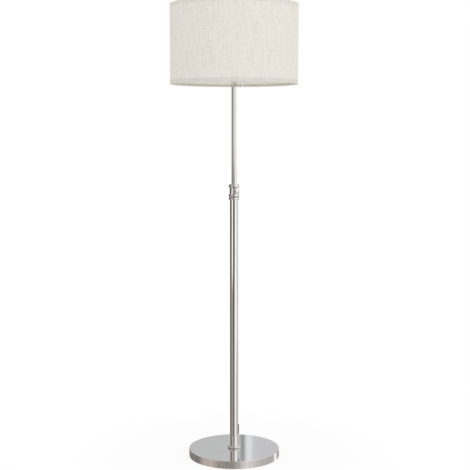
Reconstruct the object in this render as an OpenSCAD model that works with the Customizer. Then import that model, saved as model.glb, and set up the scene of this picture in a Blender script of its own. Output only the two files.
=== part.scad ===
// Adjustable floor lamp: weighted round base, telescopic pole with a thumb-knob height clamp,
// screw-shell lamp holder and a linen drum shade on a recessed ring fitting.
// Millimetres, +Z up, origin on the floor under the pole's axis; the viewer stands on the -Y side.

/* [Base] */
// Diameter of the polished base cover
base_d = 290; // [240:1:340]
// Height of the base cover's top above the floor
base_h = 25; // [22:0.5:32]
// Thickness of the spun cover
cover_wall = 1.5; // [1:0.1:2]
// Radius of the cover's rounded top edge
cover_edge = 1.2; // [1:0.1:5]
// Height of the cover's open rim above the floor
cover_lift = 0.8; // [0.5:0.1:1.5]
// Thickness of the cast weight inside the cover
weight_t = 13; // [11:0.5:15]
// Diameter of the well under the weight that takes the nut
well_d = 40; // [32:1:56]
// Depth of that well
well_depth = 8; // [7.5:0.5:9]
// Thickness of the floor pad
pad_t = 2; // [1.5:0.5:3]
// Distance from the cover's edge to the floor pad's edge
pad_inset = 5; // [3:0.5:20]
// Diameter of the spacer between the weight and the cover
spacer_d = 44; // [30:1:70]
// Diameter of the washer under the weight
washer_d = 26; // [20:1:30]
// Thickness of the washer
washer_t = 1.6; // [1:0.1:2]
// Nut size across the flats
nut_af = 17; // [14:1:19]
// Thickness of the nut
nut_t = 5; // [4:0.5:5.5]

/* [Pole] */
// Outer diameter of the lower tube
lower_d = 26; // [25:0.5:27]
// Wall of the lower tube
lower_wall = 1.5; // [1:0.1:2]
// Length of the lower tube
lower_len = 821; // [700:1:900]
// Outer diameter of the upper tube
upper_d = 16; // [14:0.5:16.5]
// Wall of the upper tube
upper_wall = 1.2; // [0.8:0.1:1.5]
// Length of the upper tube
upper_len = 640; // [560:1:700]
// Visible length of the upper tube, from the clamp's top to the neck of the lamp holder
extension = 304; // [12:1:480]
// Outer diameter of the threaded stud that holds the pole on the base
stud_d = 10; // [8:1:12]
// Bore of the stud
stud_bore = 6.4; // [4:0.2:7]
// Height of the plug in the foot of the lower tube
plug_h = 30; // [20:1:38]
// Outer diameter of the rounded ring at the foot of the pole
foot_ring_d = 41; // [36:0.5:52]
// Height of that ring
foot_ring_h = 7.5; // [5:0.5:12]

/* [Cable outlet] */
// Height of the outlet's middle above the base
outlet_rise = 58; // [54:1:90]
// Height of the outlet grommet
outlet_h = 36; // [24:1:40]
// Width of the outlet grommet
outlet_w = 14; // [12.5:0.5:17]
// How far the grommet stands out from the tube
outlet_proud = 4.4; // [2:0.1:7]
// Direction of the outlet, from the right-hand side towards the back
outlet_angle = 50; // [30:1:90]
// Diameter of the hole for the cable
cable_hole = 6.6; // [5:0.1:7.4]

/* [Height clamp] */
// Depth of the collar's socket over the lower tube
socket_depth = 10.5; // [10:0.5:14]
// Diameter of the collar in its groove
groove_d = 31; // [28.6:0.1:32]
// Height of the groove under the bead
groove_h = 2; // [1.2:0.1:5]
// Diameter of the bead
bead_d = 34; // [32:0.1:38]
// Height of the bead
bead_h = 10.2; // [9:0.1:12]
// Diameter of the neck where the knob is
neck_d = 28; // [27.5:0.1:29]
// Height of the neck
neck_h = 19; // [15:0.1:24]
// Diameter of the top flange
flange_d = 33.8; // [32:0.1:38]
// Height of the top flange
flange_h = 10.4; // [8:0.1:14]
// Diameter of the trim ring under the collar
trim_d = 34; // [32:0.1:38]
// Height of the trim ring
trim_h = 7.3; // [5:0.1:10]
// Radius of the crowned faces of the bead, the flange and the trim ring
crown_r = 12; // [9:0.5:40]
// Outer diameter of the guide bush in the collar
guide_d = 21.1; // [20.5:0.1:21.5]
// Thickness of the guide bush's flange, on the end of the lower tube
guide_flange_t = 2; // [1.5:0.1:3]
// Direction of the knob, from straight to the front towards the right
knob_turn = 17; // [0:1:60]
// Diameter of the thumb knob
knob_d = 20.2; // [16:0.1:24]
// Distance from the pole's axis to the middle of the knob's face
knob_reach = 29; // [28:0.1:34]
// Thickness of the knob's head, with its dome
knob_t = 9.5; // [8:0.1:10]
// Height of the dome on the knob's face
knob_dome = 2.2; // [1:0.1:3]
// Diameter of the clamp screw
screw_d = 6; // [6:0.5:8]
// Diameter of the nylon clamp pad
clamp_pad_d = 5.8; // [4:0.1:6]

/* [Sliding end] */
// Length of the bush on the lower end of the upper tube
slide_h = 30; // [20:1:40]
// Height of the brass ferrule on the tube's end
ferrule_h = 8; // [6:0.5:12]
// Diameter of the ferrule
ferrule_d = 21; // [19:0.1:22]
// Thickness of the clip above the bush
clip_t = 1.8; // [1:0.1:3]
// Diameter of the clip
clip_d = 20; // [18.5:0.1:22]

/* [Lamp holder] */
// Diameter of the neck coupler
coupler_d = 18.5; // [17.8:0.1:22]
// Depth of the upper tube in the coupler
coupler_socket = 16; // [12:0.5:20]
// Solid length of the coupler above the tube
coupler_web = 8; // [7:0.5:12]
// Height of the holder's cap
cap_h = 23; // [21:0.5:28]
// Diameter of the holder's cap
cap_d = 42; // [41:0.5:46]
// Diameter of the holder's flange, which carries the shade
holder_flange_d = 46; // [44:0.5:50]
// Thickness of the holder's flange
holder_flange_t = 5; // [4:0.5:8]
// Diameter of the holder's threaded sleeve
sleeve_d = 39.2; // [38.6:0.1:39.6]
// Height of the sleeve above the flange
sleeve_h = 31; // [29:0.5:36]
// Wall of the sleeve
sleeve_wall = 2.2; // [1.6:0.1:2.8]
// Inner diameter of the screw shell
shell_bore = 27.4; // [26.8:0.1:28]
// Diameter of the ring that locks the shade
lock_ring_d = 54; // [50:0.5:57]
// Height of that ring
lock_ring_h = 9; // [7:0.5:12]
// Number of grip flutes round that ring
lock_ring_flutes = 24; // [12:1:30]

/* [Bulb] */
// Diameter of the bulb
bulb_d = 60; // [55:1:70]
// Length of the bulb, with its cap
bulb_len = 106; // [98:1:115]
// Diameter of the screw cap
bulb_cap_d = 26.2; // [25.6:0.1:26.4]
// Length of the screw cap
bulb_cap_h = 25; // [23:0.5:27]
// Wall of the opal globe
globe_wall = 1.5; // [1:0.1:2.5]

/* [Shade] */
// Outer diameter of the shade
shade_d = 400; // [320:1:460]
// Height of the shade
shade_h = 246; // [200:1:320]
// Thickness of the linen-faced panel
panel_t = 1; // [0.8:0.1:1.4]
// Thickness of the trim folded over each edge
trim_t = 0.35; // [0.3:0.05:0.5]
// Width of the folded trim
trim_w = 11.5; // [7:0.5:16]
// Diameter of the ring wire and the arm wire
wire_d = 3.5; // [3:0.1:4]
// How far the hub sits above the shade's lower edge
hub_rise = 44; // [30:1:60]
// Diameter of the hub plate
hub_d = 58; // [56:0.5:64]
// Thickness of the hub plate
hub_t = 2; // [1.5:0.1:2.5]
// Height of the arms' steep outer end
arm_step = 8; // [6:0.5:12]
// Bend radius of the arms
arm_bend = 7; // [5:0.5:9]
// Direction of the first arm, from straight back towards the right
arm_turn = 8; // [0:1:30]

/* [Fits] */
// Radial clearance of parts that slide or turn on each other
run_fit = 0.08; // [0.03:0.01:0.1]
// Radial clearance of parts that are screwed or glued together
seat_fit = 0.05; // [0.03:0.01:0.1]
// Gap between the clamp pad and the upper tube when the knob is just eased
pad_gap = 0.3; // [0.2:0.05:0.5]

/* [Hidden] */
$fn = 96;

nickel = [0.80, 0.79, 0.78];
steel = [0.66, 0.67, 0.68];
iron = [0.30, 0.30, 0.31];
black = [0.12, 0.12, 0.13];
nylon = [0.90, 0.89, 0.86];
brass = [0.80, 0.66, 0.36];
white = [0.94, 0.94, 0.92];
linen = [0.89, 0.87, 0.83];
opal = [0.97, 0.97, 0.95];

eps = 0.01;
base_r = base_d / 2;
lower_r = lower_d / 2;
lower_bore = lower_r - lower_wall;
upper_r = upper_d / 2;
upper_bore = upper_r - upper_wall;
stud_r = stud_d / 2;

outlet_face = lower_r + outlet_proud - 0.4;

// heights in the base
weight_top = pad_t + weight_t;
well_top = pad_t + well_depth;
washer_z = well_top - washer_t;
nut_z = washer_z - nut_t;
stud_z = nut_z - 0.6;
cover_under = base_h - cover_wall;
plug_top = base_h + plug_h;

// heights in the clamp
pole_top = base_h + lower_len;
shoulder_z = pole_top + guide_flange_t;
skirt_z = pole_top - socket_depth;
bead_z = skirt_z + groove_h;
neck_z = bead_z + bead_h;
flange_z = neck_z + neck_h;
collar_top = flange_z + flange_h;
knob_z = neck_z + neck_h / 2;
knob_angle = knob_turn - 90;
knob_back = knob_reach - knob_t;
pad_outer = guide_d / 2 + 0.4;
screw_tip = pad_outer + 0.1;

// heights of the upper tube and the lamp holder
coupler_z = collar_top + extension;
tube_top = coupler_z + coupler_socket;
coupler_top = tube_top + coupler_web;
tube_end = tube_top - upper_len;
slide_z = tube_end + ferrule_h - 2 + 0.2;
clip_z = slide_z + slide_h + 0.2;
cap_z = coupler_top;
holder_flange_z = cap_z + cap_h;
hub_z = holder_flange_z + holder_flange_t;
sleeve_r = sleeve_d / 2;
sleeve_bore = sleeve_r - sleeve_wall;
core_z = holder_flange_z - 6;
core_h = 12;
core_r = sleeve_bore - 0.3;
shell_z = core_z + core_h;
shell_wall = 0.6;
contact_z = shell_z;
bulb_z = shell_z + 3;
bulb_neck_z = bulb_z + bulb_cap_h;

// sizes of the shade
shade_r = shade_d / 2;
shade_z = hub_z - hub_rise;
shade_top = shade_z + shade_h;
panel_r = shade_r - trim_t;
panel_in = panel_r - panel_t;
wire_r = wire_d / 2;
ring_r = panel_in - wire_r - 0.15;
ring_z = shade_z + trim_t + wire_r + 0.15;
top_ring_z = shade_top - trim_t - wire_r - 0.15;
hub_r = hub_d / 2;
arm_low = [ring_r - 1.89 * wire_r, ring_z];
arm_hub = [hub_r + 0.35, hub_z + hub_t / 2];
// the steep end of an arm leans inward by this angle from upright
arm_lean = 25;
// slope of the long part, from the top of the steep end to the hub
arm_knee = [arm_low[0] - arm_step * tan(arm_lean), arm_low[1] + arm_step];
arm_slope = atan((arm_hub[1] - arm_knee[1]) / (arm_knee[0] - arm_hub[0]));

// A revolved ring with rounded outer corners: bore, outer radius, foot height, height and corner radius.
module round_ring(bore, outer, z, height, corner) {
  rotate_extrude()
    intersection() {
      union() {
        translate([bore, z])
          square([outer - corner - bore, height]);
        translate([outer - corner - eps, z + corner])
          square([corner + eps, height - 2 * corner]);
        translate([outer - corner, z + corner])
          circle(corner);
        translate([outer - corner, z + height - corner])
          circle(corner);
      }
      translate([bore, z])
        square([outer - bore, height]);
    }
}

// A turned ring whose face is crowned, with corners that run smoothly into the crown.
module crowned_ring(bore, outer, z, height, corner) {
  half = height / 2;
  tilt = asin((half - corner) / (crown_r - corner));
  hub = outer - crown_r;
  shoulder = hub + (crown_r - corner) * cos(tilt);
  rotate_extrude()
    translate([0, z + half]) {
      translate([bore, -half])
        square([shoulder - bore, height]);
      for (end = [-1, 1])
        translate([shoulder, end * (half - corner)])
          circle(corner);
      intersection() {
        translate([hub, 0])
          circle(crown_r);
        polygon([[shoulder - eps, corner - half], [hub + 2 * crown_r * cos(tilt), -2 * crown_r * sin(tilt)],
                 [hub + 2 * crown_r * cos(tilt), 2 * crown_r * sin(tilt)], [shoulder - eps, half - corner]]);
      }
    }
}

// A straight tube: outer radius, bore radius, foot height and length.
module pipe(outer, bore, z, length) {
  translate([0, 0, z])
    difference() {
      cylinder(r = outer, h = length);
      translate([0, 0, -1])
        cylinder(r = bore, h = length + 2);
    }
}

// A round bar that points outward from the pole's axis: angle, height, radius, start and end.
module radial(angle, z, r, from, to) {
  rotate([0, 0, angle])
    translate([from, 0, z])
      rotate([0, 90, 0])
        cylinder(r = r, h = to - from);
}

// The spun cover: a shallow drum, open below, with a rounded top edge.
module base_cover() {
  color(nickel)
    rotate_extrude()
      difference() {
        union() {
          translate([0, cover_lift])
            square([base_r, base_h - cover_edge - cover_lift]);
          translate([0, base_h - cover_edge - eps])
            square([base_r - cover_edge, cover_edge + eps]);
          translate([base_r - cover_edge, base_h - cover_edge])
            circle(cover_edge);
        }
        translate([-1, -1])
          square([base_r - cover_wall + 1, cover_under + 1]);
        translate([-1, -1])
          square([stud_r + seat_fit + 1, base_h + 2]);
      }
}

// The cast-iron weight: a disc with a well below for the nut and a chamfered rim.
module base_weight() {
  rim = base_r - cover_wall - 0.3;
  color(iron)
    rotate_extrude()
      difference() {
        polygon([[0, pad_t], [rim - 1, pad_t], [rim, pad_t + 1], [rim, weight_top - 2],
                 [rim - 2, weight_top], [0, weight_top]]);
        translate([-1, pad_t - 1])
          square([well_d / 2 + 1, well_depth + 1]);
        translate([-1, pad_t - 1])
          square([stud_r + 0.3 + 1, weight_t + 2]);
      }
}

// The soft pad that the lamp stands on.
module base_pad() {
  color(black)
    pipe(base_r - pad_inset, well_d / 2, 0, pad_t);
}

// The turned spacer that keeps the cover flat while the stud pulls it down on the weight.
module base_spacer() {
  color(steel)
    pipe(spacer_d / 2, stud_r + 0.3, weight_top, cover_under - weight_top);
}

module base_washer() {
  color(steel)
    pipe(washer_d / 2, stud_r + 0.3, washer_z, washer_t);
}

module base_nut() {
  color(steel)
    translate([0, 0, nut_z])
      difference() {
        cylinder(d = nut_af / cos(30), h = nut_t, $fn = 6);
        translate([0, 0, -1])
          cylinder(r = stud_r + seat_fit, h = nut_t + 2);
      }
}

// The hollow threaded stud through the weight, spacer, cover and plug.
module pole_stud() {
  color(steel)
    pipe(stud_r, stud_bore / 2, stud_z, plug_top + 3 - stud_z);
}

// The plug in the foot of the lower tube, threaded on the stud.
module foot_plug() {
  plug_r = lower_bore - seat_fit;
  color(steel)
    rotate_extrude()
      difference() {
        polygon([[0, base_h], [plug_r, base_h], [plug_r, plug_top - 1.5], [plug_r - 1.5, plug_top],
                 [0, plug_top]]);
        translate([-1, base_h - 1])
          square([stud_r + seat_fit + 1, plug_h + 2]);
      }
}

// The rounded ring round the foot of the pole.
module foot_ring() {
  color(nickel)
    round_ring(lower_r + seat_fit, foot_ring_d / 2, base_h, foot_ring_h, foot_ring_h * 0.46);
}

// The lower tube, with the hole that the grommet snaps into.
module lower_tube() {
  color(nickel)
    difference() {
      pipe(lower_r, lower_bore, base_h, lower_len);
      radial(outlet_angle, base_h + outlet_rise, cable_hole / 2 + 1.5, 5, lower_r + 5);
    }
}

// The long rounded outline of the grommet, seen from outside the tube.
module outlet_outline() {
  straight = outlet_h - outlet_w;
  square([straight, outlet_w], center = true);
  translate([straight / 2, 0])
    circle(d = outlet_w);
  translate([-straight / 2, 0])
    circle(d = outlet_w);
}

// The cable grommet: a long pad that hugs the tube, flat at its mouth, and a neck through the tube's wall.
module cable_outlet() {
  mid = base_h + outlet_rise;
  color(black)
    difference() {
      union() {
        intersection() {
          pipe(lower_r + outlet_proud, lower_r + seat_fit, mid - outlet_h, 2 * outlet_h);
          rotate([0, 0, outlet_angle])
            translate([2, 0, mid])
              rotate([0, 90, 0])
                linear_extrude(outlet_face - 2)
                  outlet_outline();
        }
        radial(outlet_angle, mid, cable_hole / 2 + 1.5 - seat_fit, lower_bore - 2, lower_r + 1);
      }
      radial(outlet_angle, mid, cable_hole / 2, 0, lower_r + outlet_proud + 5);
    }
}

// The turned collar: socket, groove, bead, neck and rounded flange, tapped for the clamp screw.
module clamp_collar() {
  color(nickel)
    difference() {
      union() {
        translate([0, 0, skirt_z])
          cylinder(d = groove_d, h = bead_h);
        crowned_ring(5, bead_d / 2, bead_z, bead_h, 2);
        translate([0, 0, neck_z - 3])
          cylinder(d = neck_d, h = neck_h + 6);
        crowned_ring(5, flange_d / 2, flange_z, flange_h, 2.2);
      }
      translate([0, 0, skirt_z - 1])
        cylinder(r = lower_r + seat_fit, h = shoulder_z - skirt_z + 1);
      translate([0, 0, skirt_z])
        cylinder(r = guide_d / 2 + seat_fit, h = collar_top - skirt_z + 1);
      radial(knob_angle, knob_z, screw_d / 2 + run_fit, 5, 30);
    }
}

// The trim ring that closes the collar's lower end.
module collar_trim_ring() {
  color(nickel)
    crowned_ring(lower_r + seat_fit, trim_d / 2, skirt_z - trim_h, trim_h, 1.5);
}

// The nylon bush that guides the upper tube; its flange sits on the lower tube's end.
module guide_bush() {
  color(nylon)
    difference() {
      union() {
        translate([0, 0, pole_top])
          cylinder(r = lower_r - 0.1, h = guide_flange_t);
        translate([0, 0, pole_top])
          cylinder(d = guide_d, h = collar_top - pole_top - 0.4);
      }
      translate([0, 0, pole_top - 1])
        cylinder(r = upper_r + run_fit, h = collar_top - pole_top + 2);
      radial(knob_angle, knob_z, clamp_pad_d / 2 + run_fit, 2, 20);
    }
}

// The nylon slug that the screw pushes against the upper tube.
module clamp_pad() {
  color(nylon)
    difference() {
      radial(knob_angle, knob_z, clamp_pad_d / 2, 5, pad_outer);
      translate([0, 0, knob_z - 10])
        cylinder(r = upper_r + pad_gap, h = 20);
    }
}

// The screw: a plain shank with a chamfered tip, fixed in the knob.
module clamp_screw() {
  color(steel)
    rotate([0, 0, knob_angle])
      translate([screw_tip, 0, knob_z])
        rotate([0, 90, 0])
          rotate_extrude()
            polygon([[0, 0], [screw_d / 2 - 0.8, 0], [screw_d / 2, 0.8],
                     [screw_d / 2, knob_reach - 4 - screw_tip], [0, knob_reach - 4 - screw_tip]]);
}

// The thumb knob: a hub, a broad head with rounded edges and a shallow dome, blind-drilled for the screw.
module clamp_knob() {
  head_r = knob_d / 2;
  edge = 1.6;
  dome_r = head_r - 0.8;
  dome_ball = (dome_r * dome_r + knob_dome * knob_dome) / (2 * knob_dome);
  rim_top = knob_t - knob_dome;
  color(nickel)
    rotate([0, 0, knob_angle])
      translate([knob_back, 0, knob_z])
        rotate([0, 90, 0])
          difference() {
            union() {
              translate([0, 0, -1.6])
                cylinder(r = 5.2, h = 3.2);
              round_ring(0, head_r, 0, rim_top, edge);
              intersection() {
                translate([0, 0, knob_t - dome_ball])
                  sphere(dome_ball);
                translate([0, 0, rim_top - 1.5])
                  cylinder(r = dome_r - 0.6, h = 10);
              }
            }
            translate([0, 0, -3])
              cylinder(r = screw_d / 2 + seat_fit, h = knob_t - 4 + 3 + 0.2);
          }
}

// The nylon bush that rides in the lower tube.
module slide_bush() {
  color(nylon)
    pipe(lower_bore - run_fit, upper_r + run_fit, slide_z, slide_h);
}

// The brass ferrule on the end of the upper tube, with a lip that covers the cut edge.
module end_ferrule() {
  color(brass)
    translate([0, 0, tube_end - 2])
      difference() {
        cylinder(d = ferrule_d, h = ferrule_h);
        translate([0, 0, 2])
          cylinder(r = upper_r + seat_fit, h = ferrule_h);
        translate([0, 0, -1])
          cylinder(r = upper_bore, h = ferrule_h);
      }
}

// The spring clip that keeps the slide bush on the tube.
module bush_clip() {
  color(steel)
    difference() {
      pipe(clip_d / 2, upper_r + seat_fit, clip_z, clip_t);
      translate([0, -2.5, clip_z - 1])
        cube([clip_d, 5, clip_t + 2]);
    }
}

module upper_tube() {
  color(nickel)
    pipe(upper_r, upper_bore, tube_end, upper_len);
}

// The neck coupler between the upper tube and the lamp holder, with a turned groove.
module neck_coupler() {
  r = coupler_d / 2;
  color(nickel)
    rotate_extrude()
      difference() {
        polygon([[0, coupler_z], [r - 0.6, coupler_z], [r, coupler_z + 0.6], [r, coupler_top - 5],
                 [r - 0.7, coupler_top - 4.3], [r - 0.7, coupler_top - 3.3], [r, coupler_top - 2.6],
                 [r, coupler_top - 0.6], [r - 0.6, coupler_top], [0, coupler_top]]);
        translate([-1, coupler_z - 1])
          square([upper_r + seat_fit + 1, coupler_socket + 1]);
        translate([-1, coupler_z])
          square([stud_r + seat_fit + 1, coupler_socket + coupler_web + 1]);
      }
}

// The hollow nipple that joins the coupler and the holder's cap.
module top_nipple() {
  color(steel)
    pipe(stud_r, stud_bore / 2, tube_top + 0.5, coupler_web + 8);
}

// The holder's cap: a threaded entry that flares out to a cup.
module holder_cap() {
  r = cap_d / 2;
  color(white)
    rotate_extrude()
      difference() {
        polygon([[0, cap_z], [9, cap_z], [9, cap_z + 5], [12, cap_z + 8], [r - 1.5, cap_z + 13],
                 [r, cap_z + 15], [r, cap_z + cap_h], [0, cap_z + cap_h]]);
        polygon([[-1, cap_z + 8.5], [9, cap_z + 8.5], [11, cap_z + 10.5], [r - 3, cap_z + 15.5],
                 [r - 2.4, cap_z + 16.5], [r - 2.4, cap_z + cap_h + 1], [-1, cap_z + cap_h + 1]]);
        translate([-1, cap_z - 1])
          square([stud_r + seat_fit + 1, 20]);
      }
}

// The ceramic core that carries the contacts, with two pockets for the terminals.
module holder_core() {
  color(white)
    difference() {
      translate([0, 0, core_z])
        cylinder(r = core_r, h = core_h);
      for (side = [-1, 1])
        translate([side * 9, 0, core_z - 1])
          cylinder(r = 3.2, h = 8);
    }
}

// The two terminal screws under the core.
module terminal_screws() {
  color(brass)
    for (side = [-1, 1])
      translate([side * 9, 0, core_z + 1])
        difference() {
          cylinder(r = 3, h = 5.8);
          translate([-4, -0.5, -1])
            cube([8, 1, 2]);
        }
}

// The holder's sleeve: a broad flange for the shade, a threaded outside and an open mouth.
module holder_sleeve() {
  color(white)
    difference() {
      union() {
        translate([0, 0, holder_flange_z])
          cylinder(d = holder_flange_d, h = holder_flange_t);
        translate([0, 0, holder_flange_z])
          cylinder(r = sleeve_r, h = holder_flange_t + sleeve_h);
      }
      translate([0, 0, holder_flange_z - 1])
        cylinder(r = sleeve_bore, h = holder_flange_t + sleeve_h + 2);
    }
}

// The metal screw shell that takes the bulb's cap.
module screw_shell() {
  color(brass)
    pipe(shell_bore / 2 + shell_wall, shell_bore / 2, shell_z, bulb_neck_z - 1 - shell_z);
}

// The sprung strip under the bulb's tip: a foot on the core, a rise and a raised tongue.
module centre_contact() {
  color(brass)
    translate([0, 3, contact_z])
      rotate([90, 0, 0])
        linear_extrude(6)
          polygon([[-7, 0], [-2, 0], [3, 2.4], [6, 2.4], [6, 3], [2.9, 3], [-2.1, 0.6], [-7, 0.6]]);
}

// The fluted ring that screws down on the shade's hub.
module shade_lock_ring() {
  r = lock_ring_d / 2;
  color(white)
    difference() {
      round_ring(sleeve_r + seat_fit + 0.15, r, hub_z + hub_t, lock_ring_h, 1.2);
      for (i = [0:lock_ring_flutes - 1])
        rotate([0, 0, i * 360 / lock_ring_flutes])
          translate([r + 0.8, 0, hub_z + hub_t - 1])
            cylinder(r = 1.6, h = lock_ring_h + 2, $fn = 24);
    }
}

// The shade's hub plate, with the hole for the holder's sleeve.
module shade_hub() {
  color(white)
    pipe(hub_r, sleeve_r + 0.4, hub_z, hub_t);
}

// One bent arm of the ring fitting, in the plane through the pole's axis along +X.
module shade_arm() {
  turn = 90 - arm_lean - arm_slope;
  // where the long part and the steep part touch the bend
  cut = arm_bend * tan(turn / 2);
  steep = [sin(arm_lean), -cos(arm_lean)];
  long = [-cos(arm_slope), sin(arm_slope)];
  bend_low = arm_knee + cut * steep;
  bend_top = arm_knee + cut * long;
  middle = bend_low + arm_bend * [-cos(arm_lean), -sin(arm_lean)];
  // the straight bars run this far into the bend, which is a hair thicker
  lap = 0.3;
  translate([arm_low[0], 0, arm_low[1]])
    rotate([0, -arm_lean, 0])
      cylinder(r = wire_r, h = norm(bend_low - arm_low) + lap);
  translate([middle[0], 0, middle[1]])
    rotate([90, 0, 0])
      rotate([0, 0, arm_lean])
        rotate_extrude(angle = turn)
          translate([arm_bend, 0])
            circle(wire_r + 0.03);
  translate([bend_top[0] + lap * cos(arm_slope), 0, bend_top[1] - lap * sin(arm_slope)])
    rotate([0, arm_slope - 90, 0])
      cylinder(r = wire_r, h = norm(arm_hub - bend_top) + lap);
}

// The three arms of the fitting, welded to the hub and the lower ring.
module shade_arms() {
  color(white)
    for (i = [0:2])
      rotate([0, 0, 90 - arm_turn + i * 120])
        shade_arm();
}

// A closed ring of wire at one height.
module wire_ring(z) {
  rotate_extrude()
    translate([ring_r, z])
      circle(wire_r);
}

module shade_bottom_ring() {
  color(white)
    wire_ring(ring_z);
}

module shade_top_ring() {
  color(white)
    wire_ring(top_ring_z);
}

// The linen-faced panel, rolled into a drum.
module shade_panel() {
  color(linen)
    pipe(panel_r, panel_in, shade_z + trim_t, shade_h - 2 * trim_t);
}

// The folded trim of one edge: an outer band and a turned-in lip under the wire ring.
module folded_trim() {
  rotate_extrude() {
    translate([panel_r + 0.02, 0])
      square([trim_t - 0.02, trim_w]);
    translate([ring_r - wire_r, 0])
      square([shade_r - ring_r + wire_r, trim_t - 0.02]);
  }
}

module shade_bottom_trim() {
  color(linen)
    translate([0, 0, shade_z])
      folded_trim();
}

module shade_top_trim() {
  color(linen)
    translate([0, 0, shade_top])
      mirror([0, 0, 1])
        folded_trim();
}

// The bulb's centre contact with the insulator round it.
module bulb_contact() {
  color(black)
    translate([0, 0, bulb_z])
      rotate_extrude()
        polygon([[0, 0], [4, 0], [9, 3], [9, 4.2], [0, 4.2]]);
}

// The bulb's screw cap: a thin cup with a hole for the insulator.
module bulb_cap() {
  r = bulb_cap_d / 2;
  wall = 0.6;
  color(steel)
    translate([0, 0, bulb_z])
      rotate_extrude()
        polygon([[9 + seat_fit, 3], [r - 1, 5], [r, 6.5], [r, bulb_cap_h], [r - wall, bulb_cap_h],
                 [r - wall, 6.7], [r - 1.4, 5.6], [9 + seat_fit, 4]]);
}

// The bulb's body between its cap and its globe.
module bulb_body() {
  r = bulb_d / 2;
  color(white)
    rotate_extrude()
      polygon([[0, bulb_neck_z - 4], [bulb_cap_d / 2 - 0.7, bulb_neck_z - 4],
               [bulb_cap_d / 2 - 0.7, bulb_neck_z], [bulb_cap_d / 2 + 0.6, bulb_neck_z],
               [bulb_cap_d / 2 + 1.5, bulb_neck_z + 8], [r - 3, bulb_neck_z + 36], [0, bulb_neck_z + 36]]);
}

// The opal globe: the thin shell of a ball above the body.
module bulb_globe() {
  r = bulb_d / 2;
  ball_z = bulb_z + bulb_len - r;
  color(opal)
    difference() {
      translate([0, 0, ball_z])
        sphere(r);
      translate([0, 0, ball_z])
        sphere(r - globe_wall);
      translate([0, 0, bulb_neck_z + 36 - 2 * r])
        cylinder(r = r + 1, h = 2 * r);
    }
}

base_cover();
base_weight();
base_pad();
base_spacer();
base_washer();
base_nut();
pole_stud();
foot_plug();
foot_ring();
lower_tube();
cable_outlet();
clamp_collar();
collar_trim_ring();
guide_bush();
clamp_pad();
clamp_screw();
clamp_knob();
slide_bush();
end_ferrule();
bush_clip();
upper_tube();
neck_coupler();
top_nipple();
holder_cap();
holder_core();
terminal_screws();
holder_sleeve();
screw_shell();
centre_contact();
shade_lock_ring();
shade_hub();
shade_arms();
shade_bottom_ring();
shade_top_ring();
shade_panel();
shade_bottom_trim();
shade_top_trim();
bulb_contact();
bulb_cap();
bulb_body();
bulb_globe();
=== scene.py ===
import math

import bmesh
import bpy
from mathutils import Matrix, Vector


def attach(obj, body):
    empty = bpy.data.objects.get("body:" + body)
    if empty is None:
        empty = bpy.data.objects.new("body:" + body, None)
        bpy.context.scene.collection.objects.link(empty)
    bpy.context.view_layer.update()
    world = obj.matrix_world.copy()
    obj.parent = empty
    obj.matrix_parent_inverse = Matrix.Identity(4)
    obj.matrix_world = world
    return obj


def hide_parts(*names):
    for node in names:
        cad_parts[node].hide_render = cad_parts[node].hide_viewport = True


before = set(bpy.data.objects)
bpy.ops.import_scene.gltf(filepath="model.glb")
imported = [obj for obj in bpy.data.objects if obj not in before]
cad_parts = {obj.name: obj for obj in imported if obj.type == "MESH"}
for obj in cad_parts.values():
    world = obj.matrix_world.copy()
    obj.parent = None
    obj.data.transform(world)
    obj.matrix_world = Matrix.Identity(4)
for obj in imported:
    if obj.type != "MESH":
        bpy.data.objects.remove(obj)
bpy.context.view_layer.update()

# Camera: it stands in front of the lamp, on the -Y side, a little above the clamp, and looks slightly
# down, as in the photograph.
camera = bpy.data.objects.new("camera", bpy.data.cameras.new("camera"))
camera.data.lens = 79.12
camera.location = (0.0027, -3.25998, 1.0447)
camera.rotation_euler = (math.radians(84.242), 0, 0)
bpy.context.scene.collection.objects.link(camera)
bpy.context.scene.camera = camera
bpy.context.scene.view_settings.view_transform = "Standard"


# Studio: a pale floor that runs out to white and keeps a soft shadow, and air that is white to the
# camera and plain to matt surfaces. Only polished metal sees the cards painted on the air round the
# lamp: dark behind on the left, a narrow lit card on the left, a dim front, a bright card on the right.
class Value:
    """A socket of a node tree. Arithmetic on it adds Math nodes."""

    def __init__(self, paint, socket):
        self.paint, self.socket = paint, socket

    def math(self, operation, *others):
        sockets = dict(enumerate((self, *others)))
        return self.paint.node("ShaderNodeMath", {"operation": operation}, sockets)

    def __add__(self, other):
        return self.math("ADD", other)

    def __mul__(self, other):
        return self.math("MULTIPLY", other)

    def __sub__(self, other):
        return self.math("SUBTRACT", other)

    def __rsub__(self, other):
        return self.paint.node("ShaderNodeMath", {"operation": "SUBTRACT"}, {0: other, 1: self})

    def __truediv__(self, other):
        return self.math("DIVIDE", other)

    __radd__ = __add__
    __rmul__ = __mul__


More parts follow.
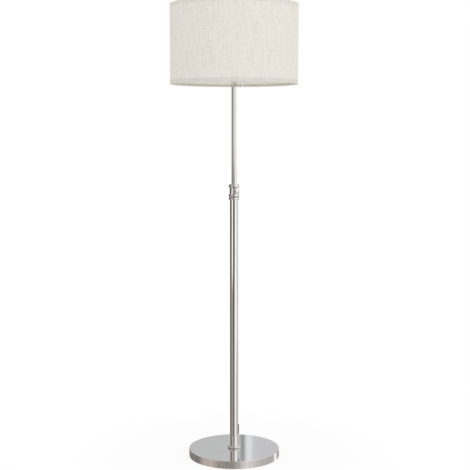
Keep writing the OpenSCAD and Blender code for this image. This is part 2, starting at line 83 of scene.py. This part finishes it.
class Paint:
    """The node tree of one finish, or of the studio's air."""

    def __init__(self, owner):
        owner.use_nodes = True
        self.tree = owner.node_tree
        self.tree.nodes.clear()

    def node(self, kind, settings, inputs, output=0):
        """Adds a node: its settings first, then the values or links of its sockets."""
        new = self.tree.nodes.new(kind)
        for name, value in settings.items():
            if name == "stops":
                stops = new.color_ramp.elements
                for place, _ in value[2:]:
                    stops.new(place)
                for stop, (place, colour) in zip(stops, value):
                    stop.position, stop.color = place, (*colour, 1)
            else:
                setattr(new, name, value)
        for name, value in inputs.items():
            if isinstance(value, Value):
                self.tree.links.new(value.socket, new.inputs[name])
            else:
                new.inputs[name].default_value = value
        return Value(self, new.outputs[output]) if new.outputs else None

    def ramp(self, value, stops):
        return self.node("ShaderNodeValToRGB", {"stops": stops}, {0: value})

    def mix(self, share, first, second):
        """A colour between two colours."""
        colours = [c if isinstance(c, Value) else (*c, 1) for c in (first, second)]
        inputs = {0: share, 6: colours[0], 7: colours[1]}
        return self.node("ShaderNodeMix", {"data_type": "RGBA"}, inputs, 2)

    def ease(self, value, low, high):
        """0 below low, 1 above high, smooth between."""
        inputs = {"Value": value, "From Min": low, "From Max": high}
        return self.node("ShaderNodeMapRange", {"interpolation_type": "SMOOTHSTEP"}, inputs)

    def axes(self, vector):
        return [self.node("ShaderNodeSeparateXYZ", {}, {0: vector}, i) for i in range(3)]

    def join(self, x, y, z):
        return self.node("ShaderNodeCombineXYZ", {}, {0: x, 1: y, 2: z})

    def grain(self, vector, scale, detail=2.0):
        """Soft noise from about 0.2 to 0.8 round 0.5; scale is in lumps a metre."""
        inputs = {"Vector": vector, "Scale": scale, "Detail": detail}
        return self.node("ShaderNodeTexNoise", {}, inputs)


WHITE = (1, 1, 1, 1)

paint = Paint(bpy.data.materials.new("studio_floor"))
place = paint.node("ShaderNodeTexCoord", {}, {}, "Object")
from_pole = paint.node("ShaderNodeVectorMath", {"operation": "LENGTH"}, {0: place}, 1)
white_share = paint.ease(from_pole, 0.2, 0.7) * 0.12 + 0.88
to_camera = paint.node("ShaderNodeLightPath", {}, {}, "Is Camera Ray")
matt = paint.node("ShaderNodeBsdfDiffuse", {}, {"Color": (0.88, 0.88, 0.87, 1)})
glow = paint.node("ShaderNodeEmission", {}, {"Color": WHITE, "Strength": 1})
blend = paint.node("ShaderNodeMixShader", {}, {0: white_share * to_camera, 1: matt, 2: glow})
paint.node("ShaderNodeOutputMaterial", {}, {"Surface": blend})

disc = bmesh.new()
bmesh.ops.create_circle(disc, cap_ends=True, segments=96, radius=9)
floor = bpy.data.objects.new("studio_floor", bpy.data.meshes.new("studio_floor"))
disc.to_mesh(floor.data)
disc.free()
floor.data.materials.append(bpy.data.materials["studio_floor"])
bpy.context.scene.collection.objects.link(floor)
floor.visible_glossy = False

# the air: x, y and rise are the parts of a ray's direction, and turn goes once round from 0 at the
# back, by the left, the front at 0.5 and the right, to 1 at the back
air = bpy.data.worlds.new("studio_air")
bpy.context.scene.world = air
paint = Paint(air)
x, y, rise = paint.axes(paint.node("ShaderNodeTexCoord", {}, {}, "Generated"))
turn = x.math("ARCTAN2", 0 - y) * (0.5 / math.pi) + 0.5


def ring(*bands):
    """The cards at one height, painted round the lamp: angles from the front, right positive, each with
    a level of light and how warm its grey is. Where that isn't given, dim is warm and lit is neutral."""
    stops = []
    for angle, level, *warmth in bands:
        warm = warmth[0] if warmth else max(0.0, 1 - level)
        colour = (level, level * (1.005 - 0.11 * warm), level * (1.01 - 0.18 * warm))
        stops.append((0.5 + angle / 360, colour))
    return paint.ramp(turn, stops)


# from the lowest ring to the highest. To the camera the base's side mirrors the ground, the thick tube
# the next three towards its top, the thin tube the one at eye level, and rounded tops the last two.
ground = ring((-180, 0.3, 0.6), (-140, 0.26, 0.6), (-104, 0.24, 0.6), (-80, 0.58, 1.1),
              (-56, 0.55, 1.1), (-38, 0.35, 1.0), (-5, 0.32, 0.9), (12, 0.54, 0.6), (34, 0.8, 0.4),
              (68, 0.58, 0.4), (108, 0.52, 0.5), (121, 0.56, 0.3), (128, 1.1, 0.05),
              (137, 1.1, 0.05), (141, 0.5, 0.4), (180, 0.35, 0.6))
shin = ring((-180, 0.03), (-125, 0.05), (-96, 0.2), (-78, 0.34), (-50, 0.45), (-36, 0.28),
            (-20, 0.15), (-4, 0.22), (14, 0.6), (36, 1.25), (56, 0.85), (74, 0.62), (112, 0.56),
            (180, 0.6))
knee = ring((-180, 0.03), (-150, 0.03), (-112, 0.08), (-84, 0.32), (-50, 0.52), (-38, 0.3),
            (-27, 0.09), (-8, 0.09), (8, 0.4), (28, 1.1), (62, 1.1), (85, 0.85), (105, 0.64),
            (150, 0.6), (180, 0.8))
waist = ring((-180, 0.03), (-150, 0.03), (-112, 0.07), (-96, 0.2), (-76, 0.3), (-58, 0.45),
             (-44, 0.8), (-37, 0.6), (-30, 0.2), (12, 0.12), (25, 1.1), (52, 1.25), (66, 0.9),
             (120, 0.64), (150, 1.0))
eye = ring((-180, 0.12, 0), (-140, 0.1, 0), (-108, 0.16, 0), (-75, 0.34, 0), (-30, 0.64, 0),
           (15, 0.78, 0), (60, 0.97, 0), (110, 1.0, 0), (180, 1.0, 0))
overhead = ring((-180, 0.02), (-124, 0.03), (-80, 0.27), (-50, 0.68), (-26, 0.36), (0, 0.42),
                (24, 0.8), (36, 1.35), (52, 1.3), (72, 1.0), (110, 0.75), (150, 1.0), (180, 1.0))
ceiling = ring((-180, 0.9), (-110, 0.6, 0.2), (-60, 0.4), (0, 0.42), (40, 0.75), (110, 0.8),
               (180, 0.9))

# the cards straight behind, which the flat top of the base mirrors: grey, with a dark upright strip
# and a bright one beside it, right of the middle
across = x / y * 20 + 0.5
behind = paint.ramp(across, [
    (0.0, (0.585, 0.592, 0.607)), (0.58, (0.6, 0.607, 0.62)), (0.612, (0.5, 0.51, 0.52)),
    (0.638, (0.31, 0.32, 0.32)), (0.66, (0.31, 0.325, 0.32)), (0.69, (0.5, 0.51, 0.515)),
    (0.725, (0.8, 0.82, 0.84)), (0.76, (0.87, 0.89, 0.91)), (0.8, (0.84, 0.86, 0.89)),
    (0.84, (0.74, 0.75, 0.78)), (0.88, (0.66, 0.665, 0.69)), (1.0, (0.64, 0.645, 0.67))])
sees_behind = paint.ease(rise, 0.08, 0.16) * (1 - paint.ease(rise, 0.5, 0.7)) * paint.ease(y, 0.5, 0.7)

# the lowest ring is broken up, and the rings run into each other from the ground to the ceiling
clutter = paint.grain(paint.join(turn, 0.0, 0.0), 55, 3.0) - 0.5
dimmer, brighter = [paint.node("ShaderNodeVectorMath", {"operation": "SCALE"}, {0: ground, 3: part})
                    for part in (0.8, 1.2)]
view = paint.mix(clutter * 2.2 + 0.5, dimmer, brighter)
for higher, low, high in ((shin, -0.305, -0.285), (knee, -0.24, -0.19), (waist, -0.155, -0.12)):
    view = paint.mix(paint.ease(rise, low, high), view, higher)
angle = (turn - 0.5) * 360
lit_card = paint.ease(angle, -70, -65) * (1 - paint.ease(angle, -40, -35))
lit_card = lit_card * paint.ease(rise, -0.16, -0.13) * (1 - paint.ease(rise, -0.0545, -0.0505))
view = paint.mix(lit_card, view, (1.2, 1.18, 1.16))
for higher, low, high in ((eye, -0.05, -0.015), (overhead, 0.04, 0.2), (ceiling, 0.36, 0.5)):
    view = paint.mix(paint.ease(rise, low, high), view, higher)
view = paint.mix(sees_behind, view, behind)

to_metal = paint.node("ShaderNodeLightPath", {}, {}, "Is Glossy Ray")
to_camera = paint.node("ShaderNodeLightPath", {}, {}, "Is Camera Ray")
plain = paint.node("ShaderNodeBackground", {}, {"Color": (0.985, 0.985, 1.0, 1), "Strength": 0.9})
cards = paint.node("ShaderNodeBackground", {}, {"Color": view, "Strength": 1})
white = paint.node("ShaderNodeBackground", {}, {"Color": WHITE, "Strength": 1})
blend = paint.node("ShaderNodeMixShader", {}, {0: to_metal, 1: plain, 2: cards})
blend = paint.node("ShaderNodeMixShader", {}, {0: to_camera, 1: blend, 2: white})
paint.node("ShaderNodeOutputWorld", {}, {"Surface": blend})

# two broad soft lamps, a little higher than the shade and aimed at the clamp: the key at the front
# right, and a weaker one at the front left
for name, spot, power in (("key_lamp", (2.8, -2.4, 1.5), 19), ("fill_lamp", (-2.2, -2.2, 1.8), 6)):
    lamp = bpy.data.objects.new(name, bpy.data.lights.new(name, "AREA"))
    lamp.data.size, lamp.data.energy = 1.8, power
    aim = Vector((0, 0, 0.9)) - Vector(spot)
    aimed = aim.to_track_quat("-Z", "Y").to_matrix().to_4x4()
    lamp.matrix_world = Matrix.Translation(spot) @ aimed
    lamp.visible_glossy = False
    bpy.context.scene.collection.objects.link(lamp)


# Base: a spun steel cover over a cast-iron weight, pulled together by a hollow threaded stud, with a
# soft pad underneath. The cover is polished and nickel plated, and so is all that shows of the pole;
# such plate keeps faint marks of the lathe or the drawing die, and a few dull smudges.
MM = 0.001
NICKEL = (0.83, 0.82, 0.80)
ZINC = (0.62, 0.63, 0.64)
IRON = (0.18, 0.18, 0.19)


def dress(material, *nodes):
    """Gives CAD nodes a finish."""
    for node in nodes:
        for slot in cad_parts[node].material_slots:
            slot.material = material


def metal(name, colour, rough, marks, lay, worn_tone=0.94, spindle=None, groove=None):
    """Bare or plated metal: 'turned' has rings round its axis, 'drawn' lines along it, 'cast' lumps.
    A spindle is the place and lean of the axis of a piece that wasn't turned round the pole's. A groove
    between two heights gets a dark line of painted shade in it, and a duller finish where no polishing
    wheel reaches."""
    material = bpy.data.materials.new(name)
    paint = Paint(material)
    place = paint.node("ShaderNodeTexCoord", {}, {}, "Object")
    if spindle:
        stand = {"Location": spindle[0], "Rotation": spindle[1]}
        place = paint.node("ShaderNodeMapping", {"vector_type": "TEXTURE"}, {0: place, **stand})
    x, y, z = paint.axes(place)
    if lay == "turned":
        along = paint.join((x * x + y * y).math("SQRT"), 0.0, z)
    elif lay == "drawn":
        along = paint.join(x, y, z * 0.004)
    else:
        along = place
    lines = paint.grain(along, 700 if lay == "cast" else 2600, 2.0)
    worn = paint.ease(paint.grain(place, 24, 3.0), 0.42, 0.68)
    tint = paint.mix(worn * 0.5 + lines * 0.4, colour, [c * worn_tone for c in colour])
    bump = paint.node("ShaderNodeBump", {}, {"Strength": marks, "Distance": 0.0003, "Height": lines})
    rub = worn * (0.9 * rough) + lines * (0.6 * rough) + 0.4 * rough
    if groove:
        foot, top = groove
        edge = 0.2 * MM
        shaded_dull_groove = paint.ease(z, foot - edge, foot) * (1 - paint.ease(z, top, top + edge))
        # painted shade: the groove's colour is made dark, as shade falls in it; its finish is duller too
        tint = paint.mix(shaded_dull_groove * 0.85, tint, [c * 0.3 for c in colour])
        rub = rub + shaded_dull_groove * 0.2
    shader = paint.node("ShaderNodeBsdfPrincipled", {}, {
        "Base Color": tint, "Metallic": 1.0, "Roughness": rub, "Normal": bump})
    paint.node("ShaderNodeOutputMaterial", {}, {"Surface": shader})
    return material


def moulded(name, colour, rough, lumps, depth, coat=0.0, soiled=0.93):
    """Plastic, rubber, paint, glass or ceramic: a fine skin of so many lumps a metre, that deep, and a
    slightly uneven tone."""
    material = bpy.data.materials.new(name)
    paint = Paint(material)
    place = paint.node("ShaderNodeTexCoord", {}, {}, "Object")
    skin = paint.grain(place, lumps, 2.0)
    cloudy = paint.ease(paint.grain(place, 35, 3.0), 0.4, 0.7)
    tint = paint.mix(cloudy * 0.6 + skin * 0.3, colour, [c * soiled for c in colour])
    bump = paint.node("ShaderNodeBump", {}, {"Strength": 0.4, "Distance": depth, "Height": skin})
    rub = cloudy * (0.12 * rough) + skin * (0.15 * rough) + 0.85 * rough
    shader = paint.node("ShaderNodeBsdfPrincipled", {}, {
        "Base Color": tint, "Roughness": rub, "Normal": bump, "Coat Weight": coat})
    paint.node("ShaderNodeOutputMaterial", {}, {"Surface": shader})
    return material


def spun(profile, steps=96, closed=True):
    """A bmesh spun round the pole from (radius, height, rounding) corners in millimetres."""
    mesh = bmesh.new()
    corners = [mesh.verts.new((r * MM, 0, z * MM)) for r, z, *_ in profile]
    pairs = zip(corners, corners[1:] + corners[:1] if closed else corners[1:])
    sides = [mesh.edges.new(pair) for pair in pairs]
    bmesh.ops.spin(mesh, geom=corners + sides, cent=(0, 0, 0), axis=(0, 0, 1), angle=2 * math.pi,
                   steps=steps, use_merge=True)
    bmesh.ops.remove_doubles(mesh, verts=mesh.verts, dist=1e-7)
    bmesh.ops.recalc_face_normals(mesh, faces=mesh.faces)
    for r, z, *rounding in profile:
        if rounding:
            ring_of_edges = [e for e in mesh.edges if all(
                abs(v.co.z - z * MM) < 1e-6 and abs(v.co.xy.length - r * MM) < 1e-6 for v in e.verts)]
            bmesh.ops.bevel(mesh, geom=ring_of_edges, offset=rounding[0] * MM, offset_type="OFFSET",
                            segments=5, profile=0.5, affect="EDGES", material=-1)
    return mesh


def threaded(root, crest, pitch, foot, top, around=32, waves=4):
    """An open skin with a round screw thread between two heights. Root and crest are radii, and all is
    in millimetres. Around is the number of steps in a turn, and waves the number in a pitch."""
    mesh = bmesh.new()
    turns = math.ceil((top - foot) / pitch) + 3
    start = foot - 1.5 * pitch
    middle, half_depth = (root + crest) / 2, (crest - root) / 2
    swing = [middle - half_depth * math.cos(2 * math.pi * i / waves) for i in range(waves + 1)]
    corners = [mesh.verts.new((r * MM, 0, (start + pitch * i / waves) * MM))
               for i, r in enumerate(swing)]
    sides = [mesh.edges.new(pair) for pair in zip(corners, corners[1:])]
    bmesh.ops.spin(mesh, geom=corners + sides, cent=(0, 0, 0), axis=(0, 0, 1), angle=2 * math.pi * turns,
                   steps=around * turns, dvec=(0, 0, pitch * MM / around))
    bmesh.ops.remove_doubles(mesh, verts=mesh.verts, dist=1e-6)
    for height, outwards in ((foot, -1), (top, 1)):
        bmesh.ops.bisect_plane(mesh, geom=mesh.verts[:] + mesh.edges[:] + mesh.faces[:], dist=1e-7,
                               plane_co=(0, 0, height * MM), plane_no=(0, 0, outwards), clear_outer=True)
    bmesh.ops.recalc_face_normals(mesh, faces=mesh.faces)
    return mesh


def made(name, mesh, material, body, slot, *stands_for, wall=0.0):
    """Finishes a piece that rides on a body: smooth round its curves, with a wall if it is a skin."""
    data = bpy.data.meshes.new(name)
    mesh.to_mesh(data)
    mesh.free()
    data.polygons.foreach_set("use_smooth", [True] * len(data.polygons))
    data.set_sharp_from_angle(angle=math.radians(38))
    data.materials.append(material)
    piece = bpy.data.objects.new(name, data)
    bpy.context.scene.collection.objects.link(piece)
    if wall:
        solidify = piece.modifiers.new("wall", "SOLIDIFY")
        solidify.thickness, solidify.offset = wall * MM, -1
    piece.modifiers.new("even_normals", "WEIGHTED_NORMAL").keep_sharp = True
    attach(piece, body)
    if stands_for:
        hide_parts(*stands_for)
    return piece


turned_nickel = metal("turned_nickel", NICKEL, rough=0.045, marks=0.018, lay="turned")
zinc_steel = metal("zinc_steel", ZINC, rough=0.3, marks=0.25, lay="turned", worn_tone=0.85)
base_nickel = metal("base_nickel", NICKEL, rough=0.024, marks=0.01, lay="turned")
dress(base_nickel, "base_cover")
dress(metal("grey_iron", IRON, rough=0.6, marks=1.0, lay="cast", worn_tone=0.7), "base_weight")
dress(moulded("black_foam", (0.05, 0.05, 0.055), rough=0.95, lumps=1500, depth=0.4 * MM), "base_pad")
dress(zinc_steel, "base_spacer", "base_washer", "base_nut", "foot_plug")

# Stud: a hollow rod with a fine thread, zinc plated. It runs through the weight, the spacer and the
# cover into the plug, and the nut in the well under the weight pulls on it.
stud = threaded(root=4.6, crest=5.0, pitch=1.0, foot=2.8, top=58)
made("pole_stud_threaded", stud, zinc_steel, "base", "zinc_steel", "pole_stud", wall=1.5)

# Pole: two drawn steel tubes, plated and polished lengthwise. The thick one stands in the base behind a
# rounded trim ring, and a dark rubber grommet lines the hole where a flex would leave it.
drawn_nickel = metal("drawn_nickel", NICKEL, rough=0.04, marks=0.022, lay="drawn")
black_rubber = moulded("black_rubber", (0.045, 0.045, 0.047), rough=0.55, lumps=900, depth=0.2 * MM)
dress(drawn_nickel, "lower_tube", "upper_tube")
dress(turned_nickel, "foot_ring")
dress(black_rubber, "cable_outlet")

# Height clamp: a collar and a domed thumb knob turned from brass bar and nickel plated, on a bush and a
# slug of natural nylon. The knob's screw runs in the collar's thread and presses the slug on the tube.
# the heights of the collar's groove, which is painted dark as shade
SHADED_GROOVE = (0.8355, 0.8375)
KNOB_Z = 0.8572
KNOB_TURN = math.radians(17)
KNOB_AXIS = ((0, 0, KNOB_Z), (math.radians(90), 0, KNOB_TURN))
collar_nickel = metal("collar_nickel", NICKEL, rough=0.045, marks=0.018, lay="turned", groove=SHADED_GROOVE)
knob_nickel = metal("knob_nickel", NICKEL, rough=0.045, marks=0.018, lay="turned", spindle=KNOB_AXIS)
dress(collar_nickel, "clamp_collar")
dress(turned_nickel, "collar_trim_ring")
dress(knob_nickel, "clamp_knob")
nylon = moulded("natural_nylon", (0.87, 0.86, 0.82), rough=0.42, lumps=600, depth=0.2 * MM)
dress(nylon, "guide_bush", "clamp_pad")

screw = threaded(root=2.55, crest=3.0, pitch=1.0, foot=11.05, top=25)
bmesh.ops.holes_fill(screw, edges=[e for e in screw.edges if e.is_boundary], sides=0)
rims = [e for e in screw.edges
        if len(e.link_faces) == 2 and any(len(f.verts) > 8 for f in e.link_faces)]
bmesh.ops.bevel(screw, geom=rims, offset=0.25 * MM, offset_type="OFFSET", segments=2, profile=0.5,
                affect="EDGES", material=-1)
turned_round = Matrix.Rotation(KNOB_TURN, 4, "Z") @ Matrix.Rotation(math.radians(90), 4, "X")
in_place = Matrix.Translation((0, 0, KNOB_Z)) @ turned_round
bmesh.ops.transform(screw, matrix=in_place, verts=screw.verts)
made("clamp_screw_threaded", screw, zinc_steel, "clamp_knob", "zinc_steel", "clamp_screw")

# Sliding end: a nylon bush held on the thin tube between a brass ferrule and a spring clip. It keeps the
# tube in line and stops it from coming out of the collar.
brass = metal("turned_brass", (0.78, 0.62, 0.33), rough=0.16, marks=0.15, lay="turned", worn_tone=0.82)
dress(nylon, "slide_bush")
dress(brass, "end_ferrule")
dress(zinc_steel, "bush_clip")

# Lamp holder: a nickel coupler and a hollow nipple carry a white moulded cap, with a ceramic core inside
# and a white sleeve above. The sleeve has a rolled thread outside for the shade's ring.
white_moulding = moulded("white_moulding", (0.9, 0.9, 0.88), rough=0.28, lumps=250, depth=0.08 * MM,
                         coat=0.25, soiled=0.96)
steatite = moulded("steatite", (0.88, 0.87, 0.84), rough=0.62, lumps=1400, depth=0.1 * MM)
dress(turned_nickel, "neck_coupler")
dress(zinc_steel, "top_nipple")
dress(white_moulding, "holder_cap", "shade_lock_ring")
dress(steatite, "holder_core")
dress(brass, "terminal_screws", "centre_contact")

SLEEVE_BORE = 17.4
flange = spun([(SLEEVE_BORE, 1228.1), (23, 1228.1, 0.5), (23, 1233.1, 0.9), (SLEEVE_BORE, 1233.1)])
made("holder_flange", flange, white_moulding, "mast", "white_plastic", "holder_sleeve")
sleeve = threaded(root=18.7, crest=19.55, pitch=3.0, foot=1233, top=1262.6, around=64)
made("holder_thread", sleeve, white_moulding, "mast", "white_plastic", "holder_sleeve", wall=1.3)
mouth = spun([(SLEEVE_BORE, 1262.4), (18.9, 1262.4), (18.9, 1264.1, 0.6), (SLEEVE_BORE, 1264.1, 0.6)])
made("holder_mouth", mouth, white_moulding, "mast", "white_plastic", "holder_sleeve")
shell = threaded(root=13.75, crest=14.25, pitch=3.62, foot=1234.1, top=1261.1, around=48, waves=6)
made("screw_shell_threaded", shell, brass, "mast", "brass", "screw_shell", wall=0.28)

# Bulb: an opal globe on a white moulded body, with a rolled aluminium screw cap and a black glass
# insulator round the centre contact.
opal = moulded("opal_glass", (0.95, 0.95, 0.93), rough=0.12, lumps=60, depth=0.05 * MM, coat=0.4,
               soiled=0.985)
black_glass = moulded("black_insulator", (0.04, 0.04, 0.045), rough=0.12, lumps=300, depth=0.05 * MM,
                      coat=0.3)
aluminium = metal("rolled_aluminium", (0.78, 0.78, 0.79), rough=0.2, marks=0.12, lay="turned",
                  worn_tone=0.9)
dress(opal, "bulb_globe")
dress(white_moulding, "bulb_body")
dress(black_glass, "bulb_contact")
cap = threaded(root=12.35, crest=13.1, pitch=3.62, foot=1240.1, top=1262.1, around=48, waves=6)
made("bulb_cap_threaded", cap, aluminium, "mast", "plated_metal", "bulb_cap", wall=0.35)

# Shade ring fitting: a hub plate, three bent arms and two wire rings, welded together and powder coated
# white. The beads of weld show where the arms meet the hub and the lower ring.
ARM_AZIMUTHS = (82, 202, 322)
RING_BEAD = (195.1, 1191.35, 2.3)
HUB_BEAD = (28.8, 1234.3, 2.5)
coated_wire = moulded("coated_wire", (0.94, 0.935, 0.915), rough=0.38, lumps=2200, depth=0.12 * MM,
                      coat=0.1)
dress(coated_wire, "shade_hub", "shade_arms", "shade_bottom_ring", "shade_top_ring")
welds = bmesh.new()
for azimuth in ARM_AZIMUTHS:
    swung = Matrix.Rotation(math.radians(azimuth), 3, "Z")
    for reach, height, radius in (RING_BEAD, HUB_BEAD):
        bead = bmesh.ops.create_icosphere(welds, subdivisions=3, radius=radius * MM)["verts"]
        bmesh.ops.scale(welds, vec=(1.15, 1, 0.8), verts=bead)
        bmesh.ops.translate(welds, vec=(reach * MM, 0, height * MM), verts=bead)
        bmesh.ops.rotate(welds, cent=(0, 0, 0), matrix=swung, verts=bead)
made("weld_beads", welds, coated_wire, "mast", "white_wire")


# Shade: plain-woven linen laminated to a stiff white lining and rolled into a drum. It laps at the back
# under a glued strip, and folded strips of the same cloth bind both edges round the wire rings.
def lay_cloth(mesh, radius):
    """Lays the cloth's own measure on a drum: metres round it from the front, and metres up it."""
    cloth = mesh.loops.layers.uv.new("cloth")
    for face in mesh.faces:
        middle = face.calc_center_median()
        facing = math.atan2(middle.x, -middle.y)
        for corner in face.loops:
            x, y, z = corner.vert.co
            azimuth = (math.atan2(x, -y) - facing + math.pi) % (2 * math.pi) - math.pi + facing
            corner[cloth].uv = (azimuth * radius * MM, z + math.hypot(x, y))
    return mesh


def linen(name, colour, thread=0.00078):
    """Plain-woven linen, read in metres of cloth. Each thread has a tone of its own and varies along its
    length. Thicker slubs, long streaks, a stray dark fibre and a few small dark knots lie in it."""
    material = bpy.data.materials.new(name)
    paint = Paint(material)
    u, v, _ = paint.axes(paint.node("ShaderNodeUVMap", {"uv_map": "cloth"}, {}))

    # the weave: threads that waver, over and under each other
    wavy_u = u + (paint.grain(paint.join(u * 0.1, v, 2.0), 240) - 0.5) * 0.0007
    wavy_v = v + (paint.grain(paint.join(u, v * 0.1, 4.0), 240) - 0.5) * 0.0007
    warp, weft = wavy_u / thread, wavy_v / thread
    warp_number, weft_number = warp.math("FLOOR"), weft.math("FLOOR")
    warp_on_top = (warp_number + weft_number).math("FLOORED_MODULO", 2.0)
    warp_round = (warp * math.pi).math("SINE").math("ABSOLUTE")
    weft_round = (weft * math.pi).math("SINE").math("ABSOLUTE")
    weave = (warp_on_top * warp_round * (weft_round * 0.45 + 0.55)
             + (1 - warp_on_top) * weft_round * (warp_round * 0.45 + 0.55))
    # painted shade: the hollows between the threads are coloured darker
    thread_gap_shade = 1 - paint.ease(weave, 0.05, 0.4)

    # tones of the threads, the slubs, the streaks and the cloth as a whole, and painted shade in the
    # gaps
    upright = paint.grain(paint.join(u, v * 0.03, 0.0), 1150, 1.0)
    level = paint.grain(paint.join(u * 0.03, v, 6.0), 1150, 1.0)
    own_up, own_level = [paint.node("ShaderNodeTexWhiteNoise", {"noise_dimensions": "1D"}, {"W": number})
                         for number in (warp_number, (weft + 1000).math("FLOOR"))]
    slub_up = paint.ease(paint.grain(paint.join(u, v * 0.1, 11.0), 560, 1.0), 0.5, 0.72)
    slub_level = paint.ease(paint.grain(paint.join(u * 0.1, v, 17.0), 560, 1.0), 0.5, 0.72)
    streak_up = paint.grain(paint.join(u, v * 0.07, 41.0), 210, 1.0)
    streak_level = paint.grain(paint.join(u * 0.12, v, 47.0), 200, 1.0)
    streaks = streak_up * 1.15 + streak_level * 0.85
    cloudy = paint.grain(paint.join(u, v * 0.3, 23.0), 45, 3.0)
    tone = (warp_on_top * (upright * 0.4 + own_up * 0.3)
            + (1 - warp_on_top) * (level * 0.4 + own_level * 0.3))
    share = (tone + slub_up * 0.35 + slub_level * 0.35 + streaks * 0.7 + cloudy * 0.25 + thread_gap_shade * 0.36
             - 1.03)
    tint = paint.mix(share, [c * 1.045 for c in colour], [c * 0.84 for c in colour])

    # dark fibres and knots
    fibre = paint.ease(paint.grain(paint.join(u, v * 0.4, 31.0), 420, 1.0), 0.79, 0.82)
    tint = paint.mix(fibre * 0.6, tint, [c * 0.5 for c in colour])
    ragged = paint.grain(paint.join(u, v * 0.5, 53.0), 650) - 0.5
    spot = paint.join(u * 1.3 + ragged * 0.008, v - ragged * 0.009, 0.0)
    knots = ("ShaderNodeTexVoronoi", {"voronoi_dimensions": "2D"}, {"Vector": spot, "Scale": 21})
    near_knot = 1 - paint.ease(paint.node(*knots), 0.025, 0.06)
    chance, strength, _ = paint.axes(paint.node(*knots, "Color"))
    knot = near_knot * chance.math("GREATER_THAN", 0.93) * (strength * 0.6 + 0.1)
    tint = paint.mix(knot, tint, [c * 0.38 for c in colour])

    height = weave + slub_up * 0.7 + slub_level * 0.7
    bump = paint.node("ShaderNodeBump", {}, {"Strength": 0.7, "Distance": 0.00025, "Height": height})
    shader = paint.node("ShaderNodeBsdfPrincipled", {}, {
        "Base Color": tint, "Roughness": 0.92, "Normal": bump,
        "Sheen Weight": 0.12, "Sheen Roughness": 0.5})
    paint.node("ShaderNodeOutputMaterial", {}, {"Surface": shader})
    return material


CLOTH_RADIUS = 199.65
HEM_RADIUS = 199.95
STRIP_RADIUS = 199.9
DRUM_STEPS = 240
natural_linen = linen("natural_linen", (0.855, 0.815, 0.738))
# the hems: the same linen painted darker as shade, the lower hem more than the upper
lower_hem_painted_darker = linen("lower_hem_painted_darker", (0.755, 0.718, 0.66))
upper_hem_painted_darker = linen("upper_hem_painted_darker", (0.795, 0.756, 0.695))
lining = moulded("white_lining", (0.92, 0.895, 0.81), rough=0.6, lumps=900, depth=0.1 * MM, soiled=0.97)

panel = spun([(CLOTH_RADIUS, 1189.45), (CLOTH_RADIUS, 1434.75)], steps=DRUM_STEPS, closed=False)
uprights = [e for e in panel.edges if abs(e.verts[0].co.z - e.verts[1].co.z) > 0.1]
bmesh.ops.subdivide_edges(panel, edges=uprights, cuts=11)
panel = made("shade_linen", lay_cloth(panel, CLOTH_RADIUS), natural_linen, "mast", "linen",
             "shade_panel", wall=0.35)
liner = spun([(198.65, 1189.5), (199.28, 1189.5), (199.28, 1434.7), (198.65, 1434.7)], steps=DRUM_STEPS)
made("shade_liner", liner, lining, "mast", "linen", "shade_panel")

STRIP_WIDTH = 10
seam = spun([(STRIP_RADIUS, 1199), (STRIP_RADIUS, 1425.2)], steps=1440, closed=False)
elsewhere = [f for f in seam.faces if f.calc_center_median().y < 0
             or abs(f.calc_center_median().x) > STRIP_WIDTH / 2 * MM]
bmesh.ops.delete(seam, geom=elsewhere, context="FACES")
seam = made("shade_seam", lay_cloth(seam, STRIP_RADIUS), natural_linen, "mast", "linen", wall=0.22)

# each hem runs down outside, round the wire ring, and up inside; the upper one is the other way up.
# Both are the panel's cloth painted darker as shade, the lower one more and the upper one less
OUTSIDE, ROUND_WIRE, INSIDE = 11.4, 4.3, 9.2
for name, edge, up, cloth, node in (("shade_bottom_hem", 1189.15, 1, lower_hem_painted_darker, "shade_bottom_trim"),
                                    ("shade_top_hem", 1435.05, -1, upper_hem_painted_darker, "shade_top_trim")):
    hem = spun([(HEM_RADIUS, edge + OUTSIDE * up), (HEM_RADIUS, edge, 0.5), (194.7, edge, 1.6),
                (194.7, edge + ROUND_WIRE * up, 1.6), (198.5, edge + ROUND_WIRE * up, 0.6),
                (198.5, edge + INSIDE * up)], steps=DRUM_STEPS, closed=False)
    made(name, lay_cloth(hem, HEM_RADIUS), cloth, "mast", "linen", node, wall=0.25)
